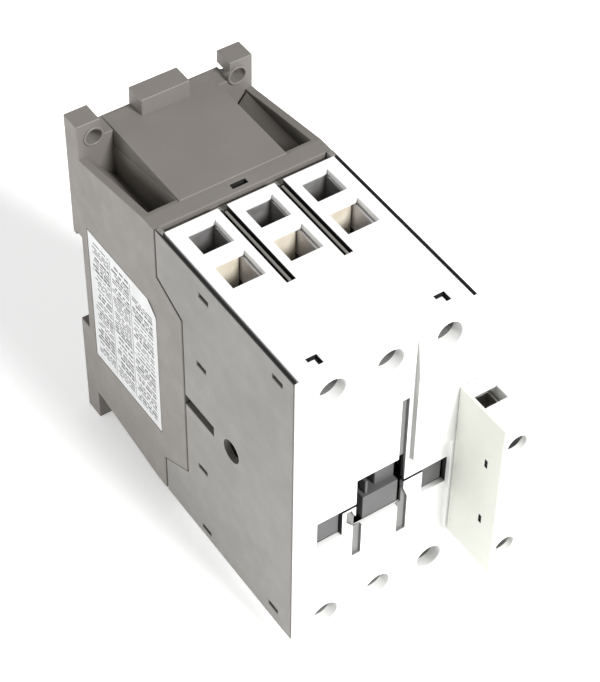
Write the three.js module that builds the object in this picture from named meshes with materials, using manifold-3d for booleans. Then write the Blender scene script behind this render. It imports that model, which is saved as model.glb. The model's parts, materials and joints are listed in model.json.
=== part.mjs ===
// Three-pole magnetic contactor of a motor starter, 55 mm wide, for screw or 35 mm rail mounting.
// Millimetres. X runs to the right seen from the front, the mounting plane is Y = 0, the front
// faces -Y and Z is up, with Z = 0 at mid height.
import * as THREE from 'three';
import { mergeVertices } from 'three/addons/utils/BufferGeometryUtils.js';
import Module from 'manifold-3d';

const wasm = await Module();
wasm.setup();

// Overall size
const HALF_W = 27.5; // base housing, half width
const HALF_H = 57.5; // over the fixing ears
const BODY_H = 51.7; // half height of the base between the ears
const COVER_H = 52.5; // half height of the front cover
const FRONT = -110.4; // front face of the cover
const PLATEAU = -112.0; // raised front area beside the coil terminals
const BLOCK_FRONT = -131.0; // front of the coil terminal block
const GAP = 0.3; // clearance between neighbouring pieces

// Base housing
const PLATE = -6.75; // front face of the rear plate
const EAR_IN = 20.3;
const EAR_LOW = 46.4;
const HOLE_X = 22.5; // fixing holes, 45 x 105 mm apart
const HOLE_Z = 52.5;
const HOLE_R = 2.3;
const RING_R = 3.1; // raised ring round each fixing hole
const TAB_X = 7.6; // half width of the top tab
const ROOF_X = 16.5; // half width of the raised roof over the coil
const ROOF_H = 52.2;
const SEAM = -45; // where base and contact chamber meet
const NOSE = -57; // the base reaches further forward at mid height
const NOSE_TOP = [34.7, 28.7];
const NOSE_BOTTOM = [-38, -32];
const RAIL_TOP = 16;
const RAIL_BOTTOM = -20;
const RAIL_DEPTH = 4.6;
const RAIL_LIP = 1.8;

// Contact chamber and poles
const WALL_OUT = 27.3;
const WALL_IN = 25.5;
const WALL_H = 52.1;
const WALL_FRONT = -108.3;
const PITCH = 17.3; // pole pitch
const BARRIER = PITCH / 2;
const POLES = [-PITCH, 0, PITCH];
const ENDS = [1, -1]; // line side on top, load side below
const SCREW_Z = 45.3;
const ACCESS_R = 3.9;
const REBATE = 26.7; // beside the cover's plates the side walls are thinned from inside to here
const BARRIER_T = 0.7; // half thickness of the walls between the poles
const RIB_T = 0.45; // half thickness of their ribs that show in the cover's grooves
const GROOVE_T = 1.3; // half width of those grooves
const PLATE_H = 50.4; // underside of the cover's plates
const SIDE_SLITS = [[-68, 46], [-66, 19], [-101.3, 46.8], [-65.2, -23.2], [-66.3, -48.8], [-99.9, -46.7]];
const SIDE_HOLE = { y: -80, z: -0.8, r: 3.6 };
const HOUSING_SCREWS = [[-20, 43], [20, -43]];
const SCREW_HOLE_R = 1.8;
const BAR_Y = -61; // rear face of the terminal bars
const BAR_T = 2;
const CONTACT_Y = -68; // rear face of the fixed contacts
const CONTACT_Z = 20.5;
const TIP = 3.5; // half size of the contact tips
const CHUTE_PITCH = 3.8; // from one splitter plate to the next
const CHUTE_PLATES = 5;

// Moving system
const STROKE = 6;
const LEDGE = -76.9; // the bridges rest here while the contactor is open
const SLIDE_X = 23; // half width of the carrier
const SLIDE_Z = 4.5;
const SPRING_X = 18.5;
const SPRING_REAR = -40.4; // front flange of the bobbin, where the return springs stand
const BRIDGE_FRONT = -79.2;
const SEAT_REAR = -91.9; // the contact springs press between the bridges and the seats here
const PIN_Y = -54.4; // the pin joins armature and carrier
const PIN_R = 1.6;
const BOBBIN_REAR = -21.6;
const FLANGE = 1.4;
const CORE_X = 12;
const CORE_H = 25.5;
const LEG_IN = 17.5;
const CENTRE_LEG = 8;
const POLE_FACE = -41;

// Coil terminal block
const BLOCK = { x0: 21.2, x1: 30.5, z0: -33.3, z1: 24.9 };
const BLOCK_X = 25.8;
const BLOCK_SCREWS = [17.6, -23.8];
const LEAD_X = 24;
const LEAD_Z = 12;
const LEAD_R = 0.7;

function solid(geometry) {
  const plain = geometry.index ? geometry.clone() : geometry;
  plain.deleteAttribute('normal');
  plain.deleteAttribute('uv');
  const merged = mergeVertices(plain, 1e-4);
  return new wasm.Manifold(new wasm.Mesh({
    numProp: 3,
    vertProperties: new Float32Array(merged.attributes.position.array),
    triVerts: new Uint32Array(merged.index.array),
  }));
}

function box(x0, x1, y0, y1, z0, z1) {
  const geometry = new THREE.BoxGeometry(Math.abs(x1 - x0), Math.abs(y1 - y0), Math.abs(z1 - z0));
  geometry.translate((x0 + x1) / 2, (y0 + y1) / 2, (z0 + z1) / 2);
  return solid(geometry);
}

// A cylinder along Y.
function rod(x, z, r, y0, y1, sides = 16) {
  const geometry = new THREE.CylinderGeometry(r, r, Math.abs(y1 - y0), sides);
  geometry.translate(x, (y0 + y1) / 2, z);
  return solid(geometry);
}

// An outline of [y, z] points drawn out along X.
function prismX(points, x0, x1) {
  const shape = new THREE.Shape(points.map(([y, z]) => new THREE.Vector2(y, z)));
  const geometry = new THREE.ExtrudeGeometry(shape, { depth: x1 - x0, bevelEnabled: false });
  geometry.applyMatrix4(new THREE.Matrix4().set(0, 0, 1, x0, 1, 0, 0, 0, 0, 1, 0, 0, 0, 0, 0, 1));
  return solid(geometry);
}

// An outline of [x, z] points drawn out along Y, from the front y0 to the rear y1.
function prismY(points, y0, y1) {
  const shape = new THREE.Shape(points.map(([x, z]) => new THREE.Vector2(x, z)));
  const geometry = new THREE.ExtrudeGeometry(shape, { depth: y1 - y0, bevelEnabled: false });
  geometry.applyMatrix4(new THREE.Matrix4().set(1, 0, 0, 0, 0, 0, -1, y1, 0, 1, 0, 0, 0, 0, 0, 1));
  return solid(geometry);
}

function join(...parts) {
  return parts.flat().reduce((sum, part) => sum.add(part));
}

function cut(from, ...parts) {
  return parts.flat().reduce((rest, part) => rest.subtract(part), from);
}

// One item for the line end and one for the load end.
function both(make) {
  return ENDS.map((side) => make(side));
}

// A box whose Z limits are measured from the middle towards one end.
function endBox(side, x0, x1, y0, y1, z0, z1) {
  return box(x0, x1, y0, y1, side * z0, side * z1);
}

class Helix extends THREE.Curve {
  constructor(radius, height, turns) {
    super();
    Object.assign(this, { radius, height, turns });
  }

  getPoint(t) {
    const angle = 2 * Math.PI * this.turns * t;
    return new THREE.Vector3(this.radius * Math.cos(angle), this.height * t, this.radius * Math.sin(angle));
  }
}

function tube(path, radius, sides, steps) {
  const corners = Array.from({ length: sides }, (_, i) => {
    const angle = (2 * Math.PI * i) / sides;
    return new THREE.Vector2(radius * Math.cos(angle), radius * Math.sin(angle));
  });
  const settings = { steps, extrudePath: path, bevelEnabled: false };
  return new THREE.ExtrudeGeometry(new THREE.Shape(corners), settings);
}

// A compression spring along Y, filling the space from y0 to y1.
function spring(x, z, radius, wire, y0, y1, turns) {
  const margin = wire + GAP / 2;
  const geometry = tube(new Helix(radius, y1 - y0 - 2 * margin, turns), wire, 5, turns * 8);
  geometry.translate(x, y0 + margin, z);
  return solid(geometry);
}

// --- Housing -----------------------------------------------------------------------------------

function baseShell() {
  const side = [
    [0, HALF_H], [PLATE, HALF_H], [PLATE, EAR_LOW], [-9, EAR_LOW + 0.2], [-40, BODY_H], [SEAM, BODY_H],
    [SEAM, NOSE_TOP[0]], [NOSE, NOSE_TOP[1]], [NOSE, NOSE_BOTTOM[1]], [SEAM, NOSE_BOTTOM[0]],
    [SEAM, -BODY_H], [-40, -BODY_H], [-9, -EAR_LOW - 0.2], [PLATE, -EAR_LOW], [PLATE, -HALF_H],
    [0, -HALF_H],
  ];
  const betweenEars = both((s) => [
    endBox(s, TAB_X, EAR_IN, 1, PLATE - 1, BODY_H, HALF_H + 1),
    endBox(s, -EAR_IN, -TAB_X, 1, PLATE - 1, BODY_H, HALF_H + 1),
  ]);
  const roof = both((s) => endBox(s, -ROOF_X, ROOF_X, -1, -40, 40, ROOF_H));
  return join(cut(prismX(side, -HALF_W, HALF_W), betweenEars.flat()), roof);
}

function baseHollow() {
  const magnetRoom = [
    [-9, -33], [-9, 33], [-44, 33], [NOSE - 1, 26.2], [NOSE - 1, -29.5], [-44, -36], [-30, -33],
  ];
  return [
    prismX(magnetRoom, -25, 25),
    box(-14.5, 14.5, -9, SEAM - 1, -49.5, 49.5),
    ...both((s) => endBox(s, -25, 25, -41, SEAM - 1, s > 0 ? 37 : 40, 49.5)),
  ];
}

// Open channels beside the coil roof give a screwdriver its way to the ear screws.
function driverChannels() {
  return both((s) => [1, -1].map((t) => {
    const channel = endBox(s, t * 16.8, t * 25.1, PLATE, -38.6, 36, HALF_H);
    const slant = [[t * 17, s * 36], [t * 18.2, s * 36], [t * 25, s * 44], [t * 25, s * 46]];
    const rib = prismY(slant, -38.6, -7.5);
    return channel.subtract(rib);
  })).flat();
}

function clipChannel() {
  return [
    box(-9.5, 9.5, -1.6, -4.8, RAIL_BOTTOM + 1, -HALF_H - 1),
    box(-7.4, 7.4, 1, -1.7, RAIL_BOTTOM + 1, -HALF_H - 1),
  ];
}

function baseHousing() {
  const rings = [];
  const holes = [];
  for (const x of [-HOLE_X, HOLE_X]) {
    for (const z of [-HOLE_Z, HOLE_Z]) {
      rings.push(rod(x, z, RING_R, PLATE + 1, PLATE - 0.5));
      holes.push(rod(x, z, HOLE_R, 1, PLATE - 2));
    }
  }
  const rail = [
    box(-28, 28, 1, -RAIL_LIP, RAIL_BOTTOM, RAIL_TOP - 1.2),
    box(-28, 28, -RAIL_LIP + 0.01, -RAIL_DEPTH, RAIL_BOTTOM, RAIL_TOP),
  ];
  const bosses = HOUSING_SCREWS.map(([x, z]) => box(x - 3, x + 3, -38, SEAM, z - 3, z + 8));
  const threads = HOUSING_SCREWS.map(([x, z]) => rod(x, z, SCREW_HOLE_R, -40, SEAM - 1, 10));
  const labelSeat = box(-28, -27.2, -8, -44, -28.3, 22.3);
  const roofSlot = both((s) => endBox(s, -2.3, 2.3, -41.6, -43.2, 48, 53));
  const springPeg = box(-2.4, 2.4, -1.2, -5, -49.5, -47);
  const shell = cut(baseShell(), baseHollow(), driverChannels());
  const withBosses = join(shell, rings, bosses);
  return join(cut(withBosses, holes, rail, clipChannel(), threads, labelSeat, roofSlot), springPeg);
}

// Floor between magnet room and contacts, stepped so that the terminals reach further back.
function chamberFloor() {
  const upper = [
    [SEAM - GAP, NOSE_TOP[0] + GAP], [NOSE - GAP, NOSE_TOP[1] + GAP], [NOSE - GAP, 6.5],
    [NOSE - 2.3, 6.5], [NOSE - 2.3, 29.8], [SEAM - 2.3, 36], [SEAM - 2.3, 50], [SEAM - GAP, 50],
  ];
  const lower = [
    [SEAM - GAP, NOSE_BOTTOM[0] - GAP], [NOSE - GAP, NOSE_BOTTOM[1] - GAP], [NOSE - GAP, -6.5],
    [NOSE - 2.3, -6.5], [NOSE - 2.3, -33], [SEAM - 2.3, -39.4], [SEAM - 2.3, -50], [SEAM - GAP, -50],
  ];
  return [prismX(upper, -WALL_IN - 0.5, WALL_IN + 0.5), prismX(lower, -WALL_IN - 0.5, WALL_IN + 0.5)];
}

function chamberWalls() {
  const outline = [
    [SEAM - GAP, WALL_H], [WALL_FRONT, WALL_H], [WALL_FRONT, -WALL_H], [SEAM - GAP, -WALL_H],
    [SEAM - GAP, NOSE_BOTTOM[0] - GAP], [NOSE - GAP, NOSE_BOTTOM[1] - GAP],
    [NOSE - GAP, NOSE_TOP[1] + GAP], [SEAM - GAP, NOSE_TOP[0] + GAP],
  ];
  return [prismX(outline, -WALL_OUT, -WALL_IN), prismX(outline, WALL_IN, WALL_OUT)];
}

// Upright walls between the poles. Near the wire openings they reach up into the cover's grooves.
function poleBarriers() {
  const upper = [[-58, 6.5], [-58, 30.2], [-46.5, 36.3], [-46.5, 50], [-107, 50], [-107, 6.5]];
  const lower = [[-58, -6.5], [-58, -33.4], [-46.5, -39.7], [-46.5, -50], [-107, -50], [-107, -6.5]];
  const walls = [-BARRIER, BARRIER].flatMap((x) => [
    prismX(upper, x - BARRIER_T, x + BARRIER_T),
    prismX(lower, x - BARRIER_T, x + BARRIER_T),
    ...both((s) => endBox(s, x - RIB_T, x + RIB_T, -49.5, -79.2, 49, WALL_H)),
  ]);
  const headRoom = box(-SLIDE_X, SLIDE_X, -96 + STROKE + 2 * GAP, -108, -15, 8);
  return join(walls).subtract(headRoom);
}

// Latch slots, the side coupling slot and its round hole, in both side walls.
function sideOpenings() {
  const cuts = SIDE_SLITS.map(([y, z]) => box(-30, 30, y - 2.2, y + 2.2, z - 0.8, z + 0.8));
  cuts.push(box(-30, 30, -54.5, -71.3, -3.2, 0.4));
  const hole = rod(0, 0, SIDE_HOLE.r, -30, 30, 16).rotate([0, 0, 90]);
  cuts.push(hole.translate([0, SIDE_HOLE.y, SIDE_HOLE.z]));
  return cuts;
}

function contactChamber() {
  const seats = POLES.flatMap((x) => both((s) => endBox(s, x - 4, x + 4, NOSE - 0.8, BAR_Y + GAP, 30, 33)));
  const rebate = both((s) => [
    endBox(s, -REBATE, -WALL_IN + 0.5, -47.6, -109, PLATE_H - GAP, 53),
    endBox(s, WALL_IN - 0.5, REBATE, -47.6, -109, PLATE_H - GAP, 53),
  ]).flat();
  const screwHoles = HOUSING_SCREWS.map(([x, z]) => rod(x, z, SCREW_HOLE_R, -44, -49, 10));
  const leadHoles = [-LEAD_Z, LEAD_Z].map((z) => rod(LEAD_X, z, 1.4, -56, -61, 8));
  const body = join(chamberWalls(), chamberFloor(), poleBarriers(), seats);
  return cut(body, rebate, sideOpenings().map((c) => c.intersect(box(-30, 30, -50, -105, -51, 50))),
    screwHoles, leadHoles);
}

function coverShell() {
  const plates = both((s) => endBox(s, -25.95, 25.95, -47.9, -109, PLATE_H, COVER_H));
  const front = box(-WALL_OUT, WALL_OUT, WALL_FRONT - GAP, FRONT, -COVER_H, COVER_H);
  const rise = [[FRONT + 1, 3], [PLATEAU, 4], [PLATEAU, 36.5], [FRONT, 51], [FRONT + 1, 51]];
  const plateau = prismX(rise, 8, WALL_OUT);
  const blockSeat = box(20.6, WALL_OUT, FRONT + 1, PLATEAU, -34, 5);
  return join(plates, front, plateau, blockSeat);
}

function chamfered(body) {
  const top = both((s) => {
    const edge = [
      [FRONT - 3, s * (COVER_H - 1.2)], [FRONT, s * (COVER_H - 1.2)], [FRONT + 1.4, s * COVER_H],
      [FRONT + 1.4, s * (COVER_H + 1)], [FRONT - 3, s * (COVER_H + 1)],
    ];
    return prismX(edge, -HALF_W - 1, HALF_W + 1);
  });
  return cut(body, top);
}

function wireOpenings() {
  return POLES.flatMap((x) => both((s) => [
    endBox(s, x - 4.5, x + 4.5, -51, -60, 49, 54),
    endBox(s, x - 4.8, x + 4.8, -64.2, -74, 49, 54),
  ]).flat());
}

function dividerGrooves() {
  return [-BARRIER, BARRIER].flatMap((x) => both((s) => [
    endBox(s, x - GROOVE_T, x + GROOVE_T, -47, -79.6, 49, 54),
  ]).flat());
}

// The windows in which the contact carrier's head shows: two wings and a taller middle.
function carrierWindow() {
  const wings = [[-20.6, -12.8], [12.8, 20.6]].map(([a, b]) => box(a, b, FRONT - 2, -107, -14.2, -4.2));
  return [...wings, box(-8.4, 6.6, FRONT - 2, -107, -14.2, 5.2), box(-13, 13, FRONT - 2, -107, -5.2, -4.2)];
}

function latchSlots() {
  return [
    prismY([[-11.4, -9.8], [-11.4, -6], [-10, -6], [-9, -8.5], [-6.6, -11], [-6.6, -25.4], [-9.2, -25.4],
      [-9.2, -12.5]], FRONT - 1, FRONT + 0.9),
    prismY([[5.2, -25.4], [8, -25.4], [8, -12], [6.6, -8], [5.2, -8]], FRONT - 1, FRONT + 0.9),
  ];
}

// Windows near the front edges in which the cover's snap tongues show.
function topLatches() {
  return [-19, 19].flatMap((x) => both((s) => {
    const window = endBox(s, x - 1.6, x + 1.6, -103.2, -106.4, 50, 54);
    return window.subtract(endBox(s, x - 2, x + 0.2, -104.5, -107, 50, 54));
  }));
}

function frontCover() {
  const accessTubes = POLES.flatMap((x) => both((s) => rod(x, s * SCREW_Z, ACCESS_R + 1.1, -91, -109)));
  const accessHoles = POLES.flatMap((x) => both((s) => rod(x, s * SCREW_Z, ACCESS_R, -90, PLATEAU - 1)));
  const groove = box(4.6, 6.6, FRONT - 1, FRONT + 1, 5, 28);
  const pinHole = rod(-7.6, 21.2, 0.6, FRONT - 1, FRONT + 1, 8);
  const leadHoles = [-LEAD_Z, LEAD_Z].map((z) => rod(LEAD_X, z, 1.4, -107, -113, 8));
  const shell = join(chamfered(coverShell()), accessTubes);
  const body = cut(shell, accessHoles, wireOpenings(), dividerGrooves());
  return cut(body, carrierWindow(), latchSlots(), topLatches(), groove, pinHole, leadHoles);
}

function labelPlate() {
  return box(-27.25, -27.5, -8.3, -43.7, -28, 22);
}

function coilTerminalBlock() {
  const { x0, x1, z0, z1 } = BLOCK;
  const shell = box(x0, x1, PLATEAU - GAP, BLOCK_FRONT, z0, z1);
  const hollow = box(x0 + 0.9, x1 - 0.9, PLATEAU, BLOCK_FRONT + 2, z0 + 1, z1 - 1);
  const wires = both((s) => box(x0 + 1, x1 - 1.2, -116.6, -121.4, s > 0 ? 22 : -35, s > 0 ? 26 : -31));
  const drivers = BLOCK_SCREWS.map((z) => rod(BLOCK_X, z, 3, -127, BLOCK_FRONT - 1));
  const sideSlots = [7.2, -15.3].map((z) => box(x0 - 1, x0 + 0.5, -124.6, -125.6, z - 1.4, z + 1.4));
  const web = box(x0 + 0.5, x1 - 0.5, -113.5, BLOCK_FRONT + 1, -5.5, -4.3);
  const back = box(WALL_OUT, x1, PLATEAU - GAP, PLATEAU - GAP - 0.9, z0, z1);
  return cut(join(shell.subtract(hollow), web, back), wires, drivers, sideSlots);
}

// --- Rail clip ---------------------------------------------------------------------------------

function railClip() {
  const plate = box(-9, 9, -2, -4.4, -22, -HALF_H + 0.2);
  const tongue = box(-7, 7, -0.3, -2.2, RAIL_BOTTOM + 1.4, -HALF_H + 0.2);
  const window = box(-2.9, 2.9, 0, -6, -50, -32);
  const driverSlot = box(-3, 3, 0, -6, -55.6, -53);
  return cut(join(plate, tongue), window, driverSlot);
}

function railClipSpring() {
  const upright = spring(0, 0, 1.15, 0.35, 0, 15, 6).rotate([90, 0, 0]);
  return upright.translate([0, -2.9, -47]);
}

// --- Magnet ------------------------------------------------------------------------------------

function eCore(yokeRear, yokeFront, legEnd, x, height) {
  const yoke = box(-x, x, yokeRear, yokeFront, -height, height);
  const legs = [
    box(-x, x, yokeFront, legEnd, -CENTRE_LEG, CENTRE_LEG),
    box(-x, x, yokeFront, legEnd, LEG_IN, height),
    box(-x, x, yokeFront, legEnd, -height, -LEG_IN),
  ];
  return join(yoke, legs);
}

function fixedCore() {
  const reach = CORE_X + 1;
  const grooves = both((s) => endBox(s, -reach, reach, POLE_FACE - 1, POLE_FACE + 1.6, 20.2, 21.7));
  return cut(eCore(-12, -21, POLE_FACE, CORE_X, CORE_H), grooves);
}

function shadingRing(side) {
  const reach = CORE_X + 1.4;
  const outer = endBox(side, -reach, reach, POLE_FACE + 0.3, POLE_FACE + 1.3, 20.4, CORE_H + 1.4);
  const inner = endBox(side, -CORE_X - 0.2, CORE_X + 0.2, POLE_FACE - 1, POLE_FACE + 3, 21.6, CORE_H + 0.2);
  return outer.subtract(inner);
}

// A rod along X at the armature pin.
function crossRod(radius, reach) {
  return rod(0, 0, radius, -reach, reach, 12).rotate([0, 0, 90]).translate([0, PIN_Y, 0]);
}

function armature() {
  const core = eCore(NOSE, -51.8, POLE_FACE - STROKE - GAP, CORE_X, 25.2);
  const pinHole = crossRod(PIN_R + GAP, 15);
  return core.subtract(pinHole);
}

function armaturePin() {
  return crossRod(PIN_R, 14.2);
}

function coilBobbin() {
  const tubeWall = box(-13.6, 13.6, BOBBIN_REAR, SPRING_REAR, -9.7, 9.7);
  const flanges = [
    box(-22, 22, BOBBIN_REAR, BOBBIN_REAR - FLANGE, -17.1, 17.1),
    box(-22, 22, SPRING_REAR + FLANGE, SPRING_REAR, -17.1, 17.1),
  ];
  const bore = box(-12.4, 12.4, -20, -42, -8.4, 8.4);
  return cut(join(tubeWall, flanges), bore);
}

function coilWinding() {
  const outline = [
    [-21, -14.6], [-19, -16.6], [19, -16.6], [21, -14.6], [21, 14.6], [19, 16.6], [-19, 16.6], [-21, 14.6],
  ];
  const coil = prismY(outline, SPRING_REAR + FLANGE + GAP, BOBBIN_REAR - FLANGE - GAP);
  return coil.subtract(box(-13.9, 13.9, -20, -42, -10, 10));
}

// --- Moving system -----------------------------------------------------------------------------

function contactCarrier() {
  const rear = box(-SLIDE_X, SLIDE_X, NOSE - GAP, -62, -SLIDE_Z, SLIDE_Z);
  const ears = [-13.5, 13.5].map((x) => box(x - 1.1, x + 1.1, -50.8, -58, -4, 4));
  const pinHole = crossRod(PIN_R + GAP, 16);
  const block = box(-SLIDE_X, SLIDE_X, -61, LEDGE, -SLIDE_Z, SLIDE_Z);
  const posts = POLES.flatMap((x) => [-6.3, 6.3].map((d) => {
    const inner = Math.max(-SLIDE_X, x + d - 0.9);
    return box(inner, Math.min(SLIDE_X, x + d + 0.9), -76, -94, -SLIDE_Z, SLIDE_Z);
  }));
  const front = box(-SLIDE_X, SLIDE_X, -93.5, -97, -SLIDE_Z, SLIDE_Z);
  return cut(join(rear, ears, block, posts, front, carrierHead()), pinHole, carrierHollows());
}

// The part of the carrier that shows in the front windows, recessed just behind the cover.
function carrierHead() {
  const apron = box(-19.8, 19.8, -96, -99, -13.4, SLIDE_Z);
  const wings = [[-19.8, -13.2], [13.2, 19.8]].map(([a, b]) => box(a, b, -98, -109.2, -13.4, -5.9));
  const middle = box(-5.6, 5.6, -98, -109.2, -13.4, -4.7);
  const step = box(-0.6, 5.6, -98, -107.2, -5, 3.4);
  const rib = box(-4.4, -3.6, -98, -108.4, -5, 0);
  return [apron, ...wings, middle, step, rib];
}

function carrierHollows() {
  return POLES.map((x) => box(x - 5.2, x + 5.2, -64, -73, -SLIDE_Z - 1, SLIDE_Z + 1));
}

function contactBridge(x) {
  const bar = box(x - 4.9, x + 4.9, LEDGE - GAP, BRIDGE_FRONT, -25, 25);
  const tips = both((s) => endBox(s, x - TIP, x + TIP, -76, -77.4, CONTACT_Z - TIP, CONTACT_Z + TIP));
  const springBoss = rod(x, 0, 2, -79, -80.6, 10);
  return join(bar, tips, springBoss);
}

function contactSpring(x) {
  return spring(x, 0, 3.3, 0.5, SEAT_REAR, BRIDGE_FRONT, 4);
}

function springSeat(x) {
  const plate = box(x - 4.8, x + 4.8, SEAT_REAR, -93.2, -SLIDE_Z, SLIDE_Z);
  return join(plate, rod(x, 0, 2.2, SEAT_REAR + 2.1, SEAT_REAR - 0.1, 10));
}

// --- Current path ------------------------------------------------------------------------------

function terminalBar(x, side) {
  const profile = [
    [BAR_Y, 49.6], [BAR_Y, 33.5], [CONTACT_Y, 29.5], [CONTACT_Y, 15.5], [CONTACT_Y - BAR_T, 15.5],
    [CONTACT_Y - BAR_T, 30.4], [BAR_Y - BAR_T, 34.4], [BAR_Y - BAR_T, 49.6],
  ].map(([y, z]) => [y, side * z]);
  const tip = endBox(side, x - TIP, x + TIP, CONTACT_Y - 1.5, -71.2, CONTACT_Z - TIP, CONTACT_Z + TIP);
  return join(prismX(profile, x - 3.9, x + 3.9), tip);
}

function cageClamp(x, side) {
  const z = side * SCREW_Z;
  const frame = box(x - 5.6, x + 5.6, -49.2, -77, z - 4.7, z + 4.7);
  const hollow = box(x - 4.3, x + 4.3, -50.6, -75.2, z - 6, z + 6);
  return cut(frame, hollow, rod(x, z, 3.25, -74, -78, 14));
}

function terminalScrew(x, side) {
  const z = side * SCREW_Z;
  const plate = rod(x, z, 3.6, -73.6, -74.8, 14);
  const shank = rod(x, z, 2.9, -74, -86, 14);
  const head = rod(x, z, 3.6, -85, -88.6, 14);
  const slot = box(x - 4, x + 4, -87.2, -90, z - 0.5, z + 0.5);
  return join(plate, shank, head).subtract(slot);
}

// Splitter plates between two side boards, one stack for each contact gap.
function arcChute(x, side) {
  const boards = [-6.9, 6.9].map((d) => endBox(side, x + d - 0.35, x + d + 0.35, -71.6, -90.5, 26.2, 34));
  const plates = Array.from({ length: CHUTE_PLATES }, (_, i) => {
    const y = -73.2 - i * CHUTE_PITCH;
    return endBox(side, x - 6.8, x + 6.8, y, y - 1, 26.6, 33.6);
  });
  return join(boards, plates);
}

function coilScrew(z) {
  const shank = rod(BLOCK_X, z, 1.6, -121.3, -126.2, 12);
  const head = rod(BLOCK_X, z, 2.6, -125.6, -128.4, 12);
  const slot = box(BLOCK_X - 3, BLOCK_X + 3, -127.3, -130, z - 0.4, z + 0.4);
  return join(shank, head).subtract(slot);
}

function coilClamp(z) {
  const frame = box(BLOCK_X - 3.4, BLOCK_X + 3.4, -113.6, -122.8, z - 3, z + 3);
  const hollow = box(BLOCK_X - 2.6, BLOCK_X + 2.6, -114.6, -121.4, z - 4, z + 4);
  return cut(frame, hollow, rod(BLOCK_X, z, 1.9, -120, -124, 12));
}

function coilLead(side) {
  const mouth = Math.abs(side > 0 ? BLOCK_SCREWS[0] : BLOCK_SCREWS[1]) - 3.5;
  const route = [[22.8, -44.6, 10], [LEAD_X, -50, LEAD_Z], [LEAD_X, -84, LEAD_Z], [LEAD_X, -108, LEAD_Z],
    [LEAD_X, -114, LEAD_Z + 0.4], [BLOCK_X, -118.4, mouth]];
  const points = route.map(([x, y, z]) => new THREE.Vector3(x, y, side * z));
  return solid(tube(new THREE.CatmullRomCurve3(points, false, 'centripetal'), LEAD_R, 6, 24));
}

function housingScrew(x, z) {
  const shank = rod(x, z, 1.5, -40.5, -48, 10);
  const head = rod(x, z, 2.7, -47.6, -48.9, 12);
  return join(shank, head).subtract(box(x - 3, x + 3, -48.3, -50, z - 0.35, z + 0.35));
}

// --- Assembly ----------------------------------------------------------------------------------

const FINISH = {
  darkPlastic: { color: 0x807b75, roughness: 0.6, metalness: 0 },
  lightPlastic: { color: 0xe9e8e2, roughness: 0.5, metalness: 0 },
  carrierPlastic: { color: 0x77787a, roughness: 0.55, metalness: 0 },
  label: { color: 0xc8c8c6, roughness: 0.4, metalness: 0.3 },
  steel: { color: 0x9a9a98, roughness: 0.35, metalness: 1 },
  copper: { color: 0xb87345, roughness: 0.35, metalness: 1 },
  laminate: { color: 0x5d5e60, roughness: 0.5, metalness: 0.8 },
  bobbin: { color: 0xd8cfae, roughness: 0.6, metalness: 0 },
  rubber: { color: 0x2a2a2a, roughness: 0.9, metalness: 0 },
};

const starter = new THREE.Group();

function add(name, finish, shape) {
  const raw = shape.getMesh();
  const geometry = new THREE.BufferGeometry();
  geometry.setAttribute('position', new THREE.BufferAttribute(new Float32Array(raw.vertProperties), 3));
  geometry.setIndex(new THREE.BufferAttribute(new Uint32Array(raw.triVerts), 1));
  geometry.computeVertexNormals();
  const mesh = new THREE.Mesh(geometry, new THREE.MeshStandardMaterial(FINISH[finish]));
  mesh.name = name;
  starter.add(mesh);
}

add('base_housing', 'darkPlastic', baseHousing());
add('contact_chamber', 'darkPlastic', contactChamber());
add('front_cover', 'lightPlastic', frontCover());
add('coil_terminal_block', 'lightPlastic', coilTerminalBlock());
add('label_plate', 'label', labelPlate());
add('rail_clip', 'steel', railClip());
add('rail_clip_spring', 'steel', railClipSpring());
add('core_buffer', 'rubber', box(-11, 11, -9.3, -11.7, -24, 24));
add('fixed_core', 'laminate', fixedCore());
add('shading_ring_upper', 'copper', shadingRing(1));
add('shading_ring_lower', 'copper', shadingRing(-1));
add('coil_bobbin', 'bobbin', coilBobbin());
add('coil_winding', 'copper', coilWinding());
add('armature', 'laminate', armature());
add('armature_pin', 'steel', armaturePin());
add('contact_carrier', 'carrierPlastic', contactCarrier());
add('return_spring_left', 'steel', spring(-SPRING_X, 0, 2.6, 0.45, NOSE - GAP, SPRING_REAR, 5));
add('return_spring_right', 'steel', spring(SPRING_X, 0, 2.6, 0.45, NOSE - GAP, SPRING_REAR, 5));

POLES.forEach((x, i) => {
  const pole = i + 1;
  add(`contact_bridge_${pole}`, 'copper', contactBridge(x));
  add(`contact_spring_${pole}`, 'steel', contactSpring(x));
  add(`spring_seat_${pole}`, 'carrierPlastic', springSeat(x));
  for (const side of ENDS) {
    const name = `${side > 0 ? 'line' : 'load'}_${pole}`;
    add(`terminal_bar_${name}`, 'copper', terminalBar(x, side));
    add(`cage_clamp_${name}`, 'steel', cageClamp(x, side));
    add(`terminal_screw_${name}`, 'steel', terminalScrew(x, side));
    add(`arc_chute_${name}`, 'steel', arcChute(x, side));
  }
});

BLOCK_SCREWS.forEach((z, i) => {
  const name = i === 0 ? 'a1' : 'a2';
  add(`coil_screw_${name}`, 'steel', coilScrew(z));
  add(`coil_clamp_${name}`, 'steel', coilClamp(z));
  add(`coil_lead_${name}`, 'copper', coilLead(ENDS[i]));
});

HOUSING_SCREWS.forEach(([x, z]) => {
  add(`housing_screw_${z > 0 ? 'upper' : 'lower'}`, 'steel', housingScrew(x, z));
});

export default starter;
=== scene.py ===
"""Looks of a three-pole contactor around its CAD frame. Shapes are in millimetres until they are meshes."""
import json
import math
import random

import bmesh
import bpy
from mathutils import Matrix, Vector


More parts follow.
